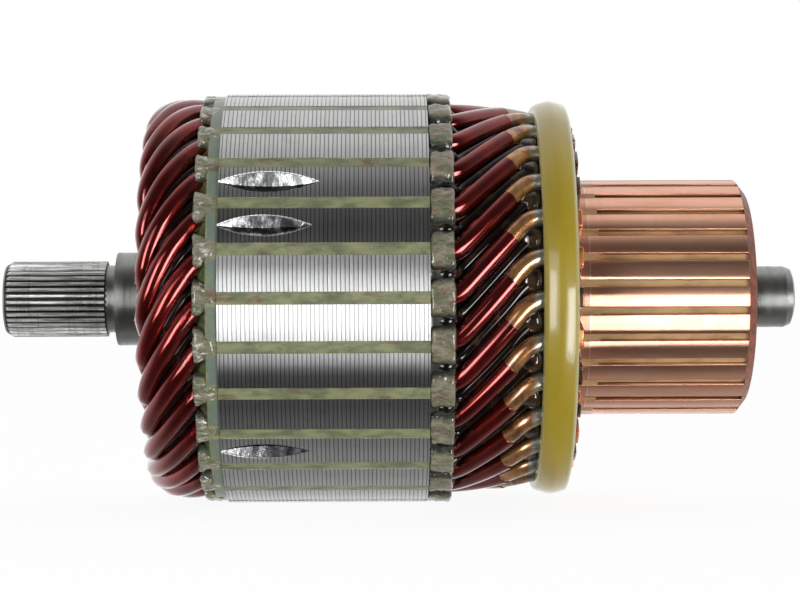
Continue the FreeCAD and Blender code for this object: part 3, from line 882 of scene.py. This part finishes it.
# the lead end's insulator, sunk between the cuffs, with the resin on its face
LEAD_SEAL = [(CORE_END + 0.02, PLATE_RADIUS - 0.75)] + [
    (CORE_END + share * (LEAD_FACE + 0.5 - CORE_END), PLATE_RADIUS - 0.85)
    for share in (0.15, 0.3, 0.45, 0.6, 0.75, 0.9)] + [
    (LEAD_FACE + 0.6, PLATE_RADIUS - 1.0), (LEAD_CUFF_END - 0.5, 28.0),
    (LEAD_CUFF_END - 0.1, 27.0), (LEAD_FACE + 0.2, 26.3), (LEAD_FACE, 12.0),
    (CORE_END + 0.02, 12.0)]


# ---- banding ring ----------------------------------------------------------------------------

def make_band():
    """The wound ring, its outside sloping both ways from a rounded middle."""
    front, back, top = RING_START + 0.15, RING_END + 0.2, RING_RADIUS
    middle = (front + back) / 2
    crown = [(middle + across, top - drop) for across, drop in (
        (-2.15, 0.70), (-1.75, 0.50), (-1.35, 0.345), (-0.95, 0.21), (-0.55, 0.10),
        (-0.25, 0.03), (0.0, 0.0), (0.3, 0.02), (0.6, 0.065), (1.0, 0.155), (1.4, 0.275),
        (1.8, 0.415), (2.15, 0.56))]
    outline = ([(front, top - 0.95)] + crown
               + [(back, top - 0.95), (back, top - 2.7), (front, top - 2.4)])
    band = lathe("wound_band", outline)
    waves = bpy.data.textures.new("band_waves", "CLOUDS")
    waves.noise_scale = 7 * MM
    finished(band, "DISPLACE", texture=waves, strength=0.08 * MM, texture_coords="LOCAL")
    return smooth(band, 60)


# ---- commutator ------------------------------------------------------------------------------

def make_bars():
    """The copper bars with their sawn edges broken."""
    bpy.ops.object.select_all(action="DESELECT")
    bars = frame["nodes"]["commutator_bars"].copy()
    bars.data = bars.data.copy()
    bpy.context.collection.objects.link(bars)
    bars.name = bars.data.name = "edged_bars"
    bars.parent = None
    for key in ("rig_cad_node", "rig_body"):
        if key in bars:
            del bars[key]

    def merged():
        bpy.ops.mesh.remove_doubles(threshold=0.004 * MM)
        bpy.ops.mesh.dissolve_limited(angle_limit=math.radians(3))
    edited(bars, merged)
    finished(bars, "BEVEL", width=0.09 * MM, segments=2, limit_method="ANGLE",
             angle_limit=math.radians(35))
    return smooth(bars, 35)


# ---- stage -----------------------------------------------------------------------------------

def make_floor():
    """A plain pale floor that shows white and keeps the shadow, with painted shade in front of the
    object.
    """
    bpy.ops.object.select_all(action="DESELECT")
    bpy.ops.mesh.primitive_plane_add(size=6, location=(0, 0, -(CORE_RADIUS + FLOOR_GAP) * MM))
    floor = settled(started("studio_floor"))
    material = bpy.data.materials.new("pale_floor")
    material.use_nodes = True
    tree = material.node_tree
    tree.nodes.clear()
    depth = node(tree, "SeparateXYZ", {0: node(tree, "TexCoord").outputs["Object"]}).outputs["Y"]
    # painted shade: the floor darkens in front of the object in the light it bounces
    front_painted_shade = blended(tree, ramped(tree, depth, -0.06, 0.0), rgb(0.10, 0.10, 0.10),
                     rgb(0.85, 0.85, 0.85))
    lit = node(tree, "BsdfDiffuse", {"Color": front_painted_shade}).outputs[0]
    pale = node(tree, "BsdfDiffuse", {"Color": rgb(0.9, 0.9, 0.9)}).outputs[0]
    white = node(tree, "Emission", {"Color": rgb(1, 1, 1), "Strength": 1.05}).outputs[0]
    seen = node(tree, "MixShader", {0: 0.88, 1: pale, 2: white}).outputs[0]
    light_path = node(tree, "LightPath")
    shown = node(tree, "MixShader", {0: light_path.outputs["Is Camera Ray"], 1: lit, 2: seen})
    # gloss reflects the studio below the floor's level too, as if the floor were not there
    below = maths(tree, "ADD", light_path.outputs["Is Glossy Ray"],
                  light_path.outputs["Is Shadow Ray"], clamp=True)
    clear = node(tree, "BsdfTransparent").outputs[0]
    shown = node(tree, "MixShader", {0: below, 1: shown.outputs[0], 2: clear})
    result = node(tree, "OutputMaterial")
    tree.links.new(shown.outputs[0], result.inputs["Surface"])
    floor.data.materials.append(material)


def make_room():
    """White surroundings that darken towards the camera's side and below."""
    world = bpy.data.worlds.new("studio")
    bpy.context.scene.world = world
    world.use_nodes = True
    tree = world.node_tree
    background = tree.nodes["Background"]
    direction = node(tree, "TexCoord").outputs["Generated"]
    parts = node(tree, "SeparateXYZ", {0: direction}).outputs
    ahead = maths(tree, "ADD", maths(tree, "MULTIPLY", parts["Y"], -0.5), 0.5)
    under = ramped(tree, parts["Z"], -1.0, -0.2, 0.36, 1.0)
    shade = node(tree, "ValToRGB", {"Fac": ahead})
    stops = shade.color_ramp.elements
    stops[0].position, stops[0].color = 0.0, rgb(0.95, 0.95, 0.95)
    stops[1].position, stops[1].color = 1.0, rgb(0.055, 0.055, 0.06)
    for position, level in ((0.22, 0.95), (0.43, 0.88), (0.50, 0.66), (0.61, 0.31), (0.725, 0.12),
                            (0.85, 0.045)):
        stops.new(position).color = rgb(level, level, level)
    light_path = node(tree, "LightPath")
    clear = maths(tree, "ADD", light_path.outputs["Is Camera Ray"],
                  light_path.outputs["Is Transmission Ray"], clamp=True)
    around = blended(tree, under, rgb(0, 0, 0), shade.outputs["Color"])
    tree.links.new(blended(tree, clear, around, rgb(1, 1, 1)), background.inputs["Color"])


def make_softbox(name, azimuth, elevation, distance, width, height, power):
    """A rectangular soft light that faces the middle of the object."""
    turn, rise = math.radians(azimuth), math.radians(elevation)
    place = Vector((math.sin(turn) * math.cos(rise), -math.cos(turn) * math.cos(rise),
                    math.sin(rise))) * distance
    bpy.ops.object.light_add(type="AREA", location=place)
    lamp = bpy.context.object
    lamp.name = name
    lamp.rotation_euler = (-place).to_track_quat("-Z", "Y").to_euler()
    lamp.data.shape = "RECTANGLE"
    lamp.data.size, lamp.data.size_y = width, height
    lamp.data.energy = power


def make_camera():
    """A long lens level with the shaft, a little left of the middle."""
    bpy.ops.object.camera_add(location=(-3.7 * MM, -340 * MM, -0.3 * MM))
    camera = bpy.context.object
    camera.data.lens = 103.5
    camera.data.sensor_width = 36
    camera.rotation_euler = (math.radians(90), math.radians(0.21), math.radians(-0.62))
    camera.data.clip_start = 0.01
    bpy.context.scene.camera = camera


# ---- assembly --------------------------------------------------------------------------------

def dressed(piece, material, slot, *nodes):
    """Give a piece its finish and its body, and hide the CAD nodes that it stands for.  The slot is
    not used.
    """
    piece.data.materials.clear()
    piece.data.materials.append(material)
    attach(piece, "root")
    if nodes:
        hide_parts(*nodes)


def coat(name, material):
    """Give a CAD node that keeps its shape a better finish."""
    kept = frame["nodes"][name]
    for holder in kept.material_slots:
        holder.material = material


make_camera()
make_floor()
make_room()
# each soft light has a hotter core, so that its reflections fade towards their ends
make_softbox("softbox_left", -33, 3.3, 0.8, 0.38, 0.63, 1.7)
make_softbox("softbox_left_core", -33, -1.5, 0.8, 0.20, 0.42, 1.9)
make_softbox("softbox_right", 38, -14.0, 0.8, 0.36, 0.54, 3.2)
make_softbox("softbox_right_core", 38, -11.5, 0.8, 0.20, 0.46, 2.2)

enamel, copper = wire_enamel(), bare_copper()
varnish, wet = dark_varnish("dark_varnish", 1.5, 0.38), dark_varnish("pool_varnish", 1.9, 0.5)
resin = green_resin("green_resin", OLIVE, DARK_OLIVE)
moss = green_resin("moss_resin", (0.13, 0.16, 0.05), (0.045, 0.06, 0.02))
# a darker copy of the moss resin: painted shade for the sunk lead insulator between the cuffs
moss_with_painted_shade = green_resin("dark_moss_resin", (0.030, 0.034, 0.017), (0.010, 0.012, 0.006))
for order, wire in enumerate(make_wires(), start=1):
    dressed(wire, enamel, "enamelled_wire", f"hairpin_{order:02d}")
dressed(make_tails(), copper, "bare_copper")
dressed(make_welds(), copper, "bare_copper")
dressed(make_fillets(), varnish, "green_laminate")
dressed(make_pools(), wet, "green_laminate")
dressed(make_beds(), varnish, "green_laminate")
dressed(make_papers(), slot_paper(), "varnished_paper", "slot_liners")
dressed(make_seal("resin_seal_head", HEAD_SEAL, 0.5), moss, "green_laminate")
dressed(make_seal("resin_seal_leads", LEAD_SEAL, 0.35), moss_with_painted_shade, "green_laminate",
        "end_insulator_lead")
dressed(make_band(), band_resin(), "banding_resin", "banding_ring")
dressed(make_bars(), commutator_copper(), "bare_copper", "commutator_bars")
coat("lamination_stack", core_steel())
coat("shaft", shaft_steel())
coat("end_insulator_head", plate_resin())
coat("slot_wedges", resin)
coat("commutator_mica", mica_plate())
coat("commutator_hub", hub_moulding())

bpy.context.scene.view_settings.view_transform = "Standard"
